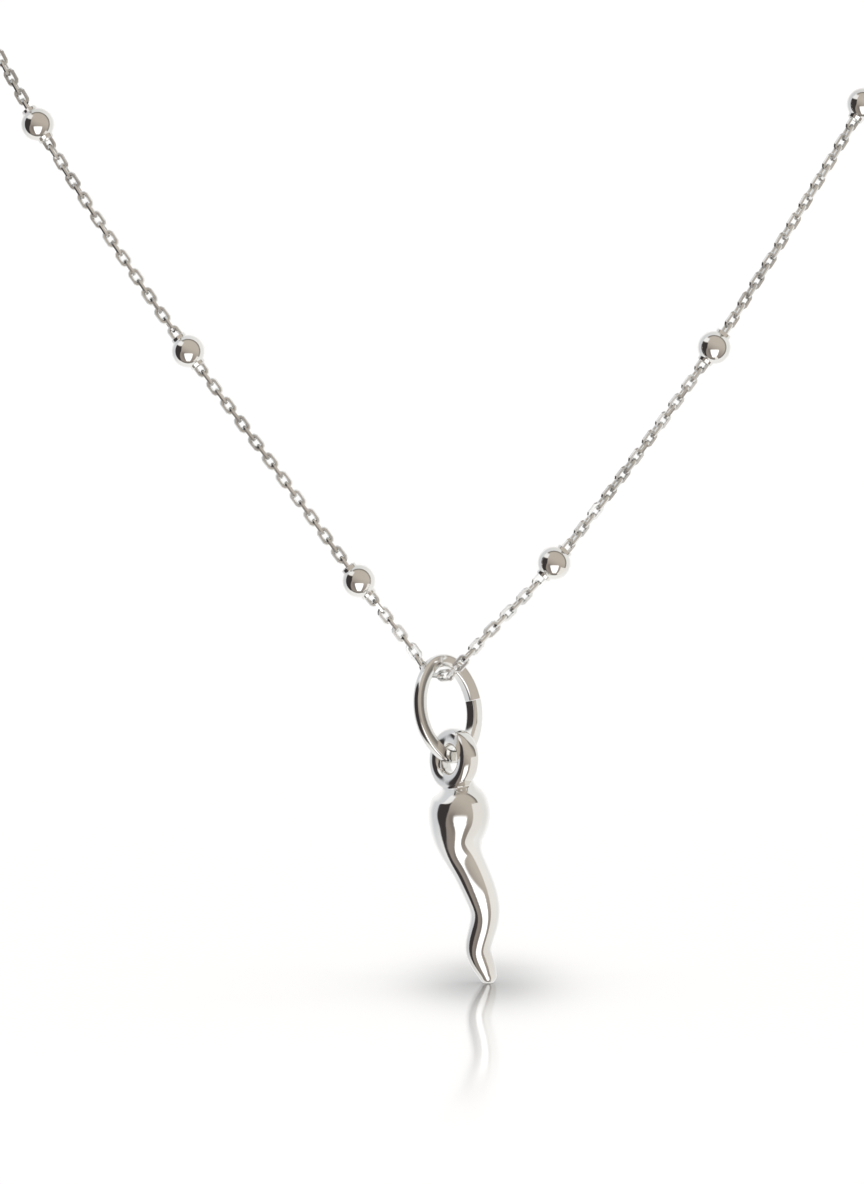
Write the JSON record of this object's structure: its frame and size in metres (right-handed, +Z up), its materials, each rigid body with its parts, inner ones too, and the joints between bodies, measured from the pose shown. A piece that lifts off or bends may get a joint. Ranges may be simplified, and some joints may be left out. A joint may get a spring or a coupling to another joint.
{
  "type": "satellite chain necklace with a horn charm",
  "caption": "Fine silver necklace: a cable chain set with polished ball beads, a twisted horn charm on an oval bail, and a plain ring clasp.",
  "frame": {"origin": "the nape of the neck, at the middle of the chain's height where the ring clasp lies", "axes": "+Z up as worn; the front of the necklace, with the charm, is towards -Y; +X is to the right of someone who looks at the front"},
  "size_m": [0.1133, 0.1158, 0.1293],
  "materials": {
    "chain": "diamond-cut polished silver",
    "beads": "mirror-polished silver",
    "bail": "polished silver wire",
    "horn": "mirror-polished cast silver",
    "clasp": "polished silver"
  },
  "bodies": {
    "necklace": {"chain_left": "chain", "chain_right": "chain", "clasp": "clasp", "bead_left_1": "beads", "bead_left_2": "beads", "bead_left_3": "beads", "bead_left_4": "beads", "bead_left_5": "beads", "bead_left_6": "beads", "bead_left_7": "beads", "bead_left_8": "beads", "bead_left_9": "beads", "bead_left_10": "beads", "bead_left_11": "beads", "bead_left_12": "beads", "bead_right_1": "beads", "bead_right_2": "beads", "bead_right_3": "beads", "bead_right_4": "beads", "bead_right_5": "beads", "bead_right_6": "beads", "bead_right_7": "beads", "bead_right_8": "beads", "bead_right_9": "beads", "bead_right_10": "beads", "bead_right_11": "beads", "bead_right_12": "beads"},
    "bail": {"bail": "bail"},
    "horn": {"horn": "horn"}
  },
  "joints": [
    {"name": "bail_swing", "type": "hinge", "parent": "necklace", "child": "bail", "pos_m": [0, -0.112, -0.107], "axis": [1, 0, 0], "range_deg": [-20, 35]},
    {"name": "horn_swing", "type": "hinge", "parent": "bail", "child": "horn", "pos_m": [0.00087, -0.11253, -0.11206], "axis": [0.7548, 0.6536, 0.0563], "range_deg": [-50, 50]}
  ]
}
